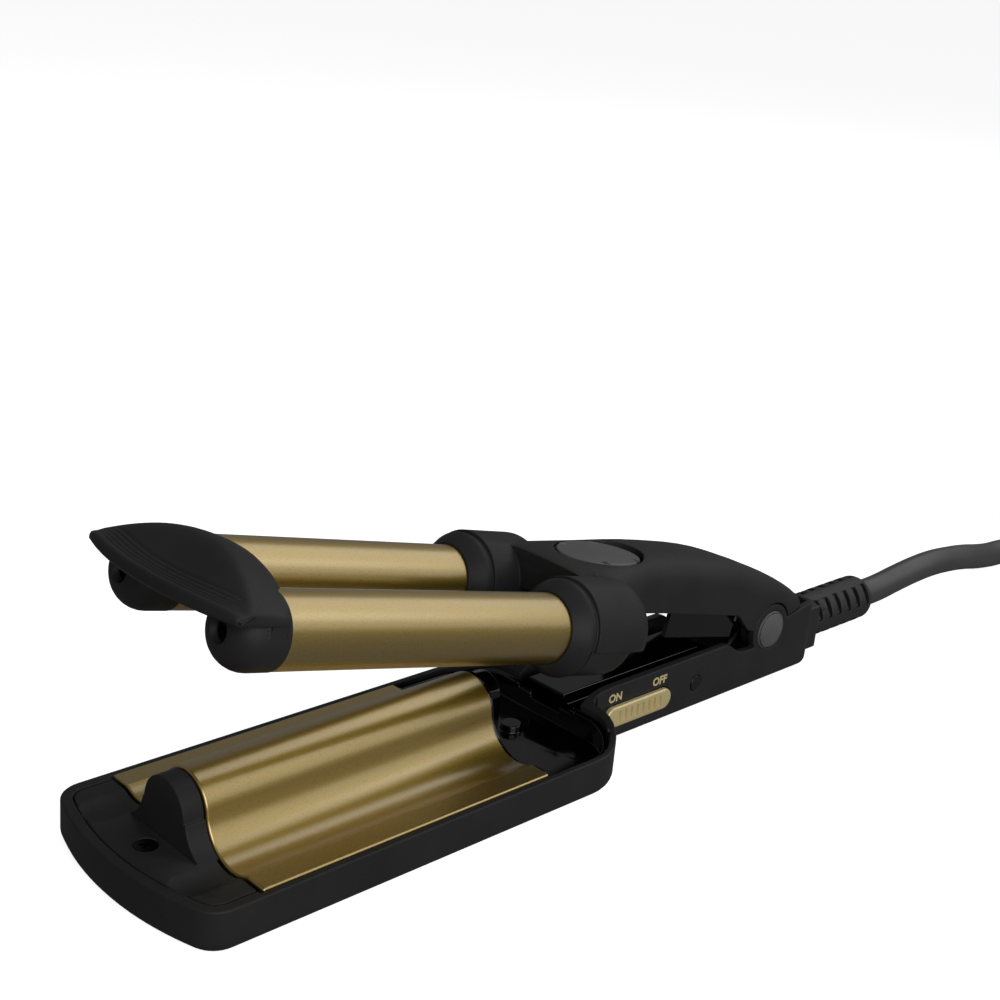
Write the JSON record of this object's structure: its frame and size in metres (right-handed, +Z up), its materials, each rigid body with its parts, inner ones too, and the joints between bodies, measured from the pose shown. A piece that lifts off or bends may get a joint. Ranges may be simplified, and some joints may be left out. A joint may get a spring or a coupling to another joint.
{
  "type": "hair waver",
  "caption": "Black and gold hair waver: sprung upper arm with two heated barrels over a ridged heated plate, slide switch and mains lead.",
  "frame": {"origin": "on the flat underside, directly below the middle of the hinge", "axes": "+X from the heated tip to the cord, -Y the side with the switch, +Z up off the rest face"},
  "size_m": [0.5448, 0.075, 0.0737],
  "materials": {
    "matte_black": "fine satin moulding",
    "gloss_black": "polished moulding",
    "gold_anodised": "satin gold anodised",
    "gold_button": "satin gold paint",
    "aluminium_block": "plain",
    "black_steel": "blackened",
    "bright_steel": "bright",
    "dark_lens": "tinted, unlit",
    "board_green": "lacquered board",
    "black_rubber": "satin",
    "nickel_brass": "nickel plated"
  },
  "bodies": {
    "base": {"lower_casing": "matte_black", "inner_liner": "gloss_black", "wave_plate": "gold_anodised", "plate_bracket": "gloss_black", "nose_cap": "matte_black", "nose_screw": "black_steel", "plate_heater_near": "aluminium_block", "plate_heater_far": "aluminium_block", "liner_screws": "black_steel", "switch_body": "gloss_black", "indicator_lens": "dark_lens", "control_board": "board_green", "hinge_pin": "bright_steel", "pivot_caps": "matte_black", "return_spring": "bright_steel", "strain_relief": "black_rubber", "power_cord": "black_rubber", "cord_coil": "black_rubber", "plug_lead": "black_rubber", "plug_body": "black_rubber", "plug_pins": "nickel_brass"},
    "upper_arm": {"upper_casing": "matte_black", "yoke_cover": "matte_black", "yoke_screws": "black_steel", "arm_cover": "gloss_black", "oval_pad": "matte_black", "barrel_near": "gold_anodised", "barrel_far": "gold_anodised", "collar_near": "matte_black", "collar_far": "matte_black", "heater_near": "aluminium_block", "heater_far": "aluminium_block", "tip_cap": "matte_black", "tip_screws": "black_steel"},
    "slider": {"switch_slider": "gold_button"}
  },
  "joints": [
    {"name": "arm_hinge", "type": "hinge", "parent": "base", "child": "upper_arm", "pos_m": [0, 0, 0.0155], "axis": [0, 1, 0], "range_deg": [-13.6, 0], "stiffness_Nm_per_rad": 0.42, "springref_deg": 34.38},
    {"name": "switch_slide", "type": "slide", "parent": "base", "child": "slider", "axis": [1, 0, 0], "range_m": [-0.003, 0]}
  ]
}
